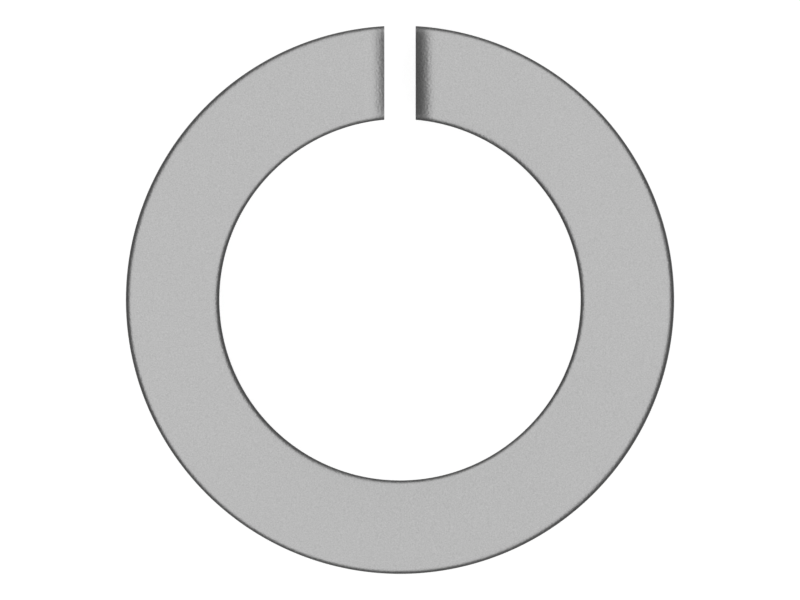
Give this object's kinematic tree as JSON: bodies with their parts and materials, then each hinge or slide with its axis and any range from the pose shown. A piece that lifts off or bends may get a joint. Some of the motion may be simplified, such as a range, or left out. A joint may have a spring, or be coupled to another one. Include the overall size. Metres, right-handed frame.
{
  "type": "spring lock washer",
  "caption": "Split ring of square-section spring steel whose ends spring apart in height, to keep a screwed joint tight.",
  "frame": {"origin": "on the bore's axis, level with the lowest point of the washer", "axes": "+Z along the bore, +Y through the middle of the gap, with the low end on the +X side of the gap and the high end on the -X side"},
  "size_m": [0.0122, 0.0122, 0.0042],
  "materials": {
    "spring_steel": "satin"
  },
  "bodies": {
    "root": {"washer": "spring_steel"}
  },
  "joints": []
}
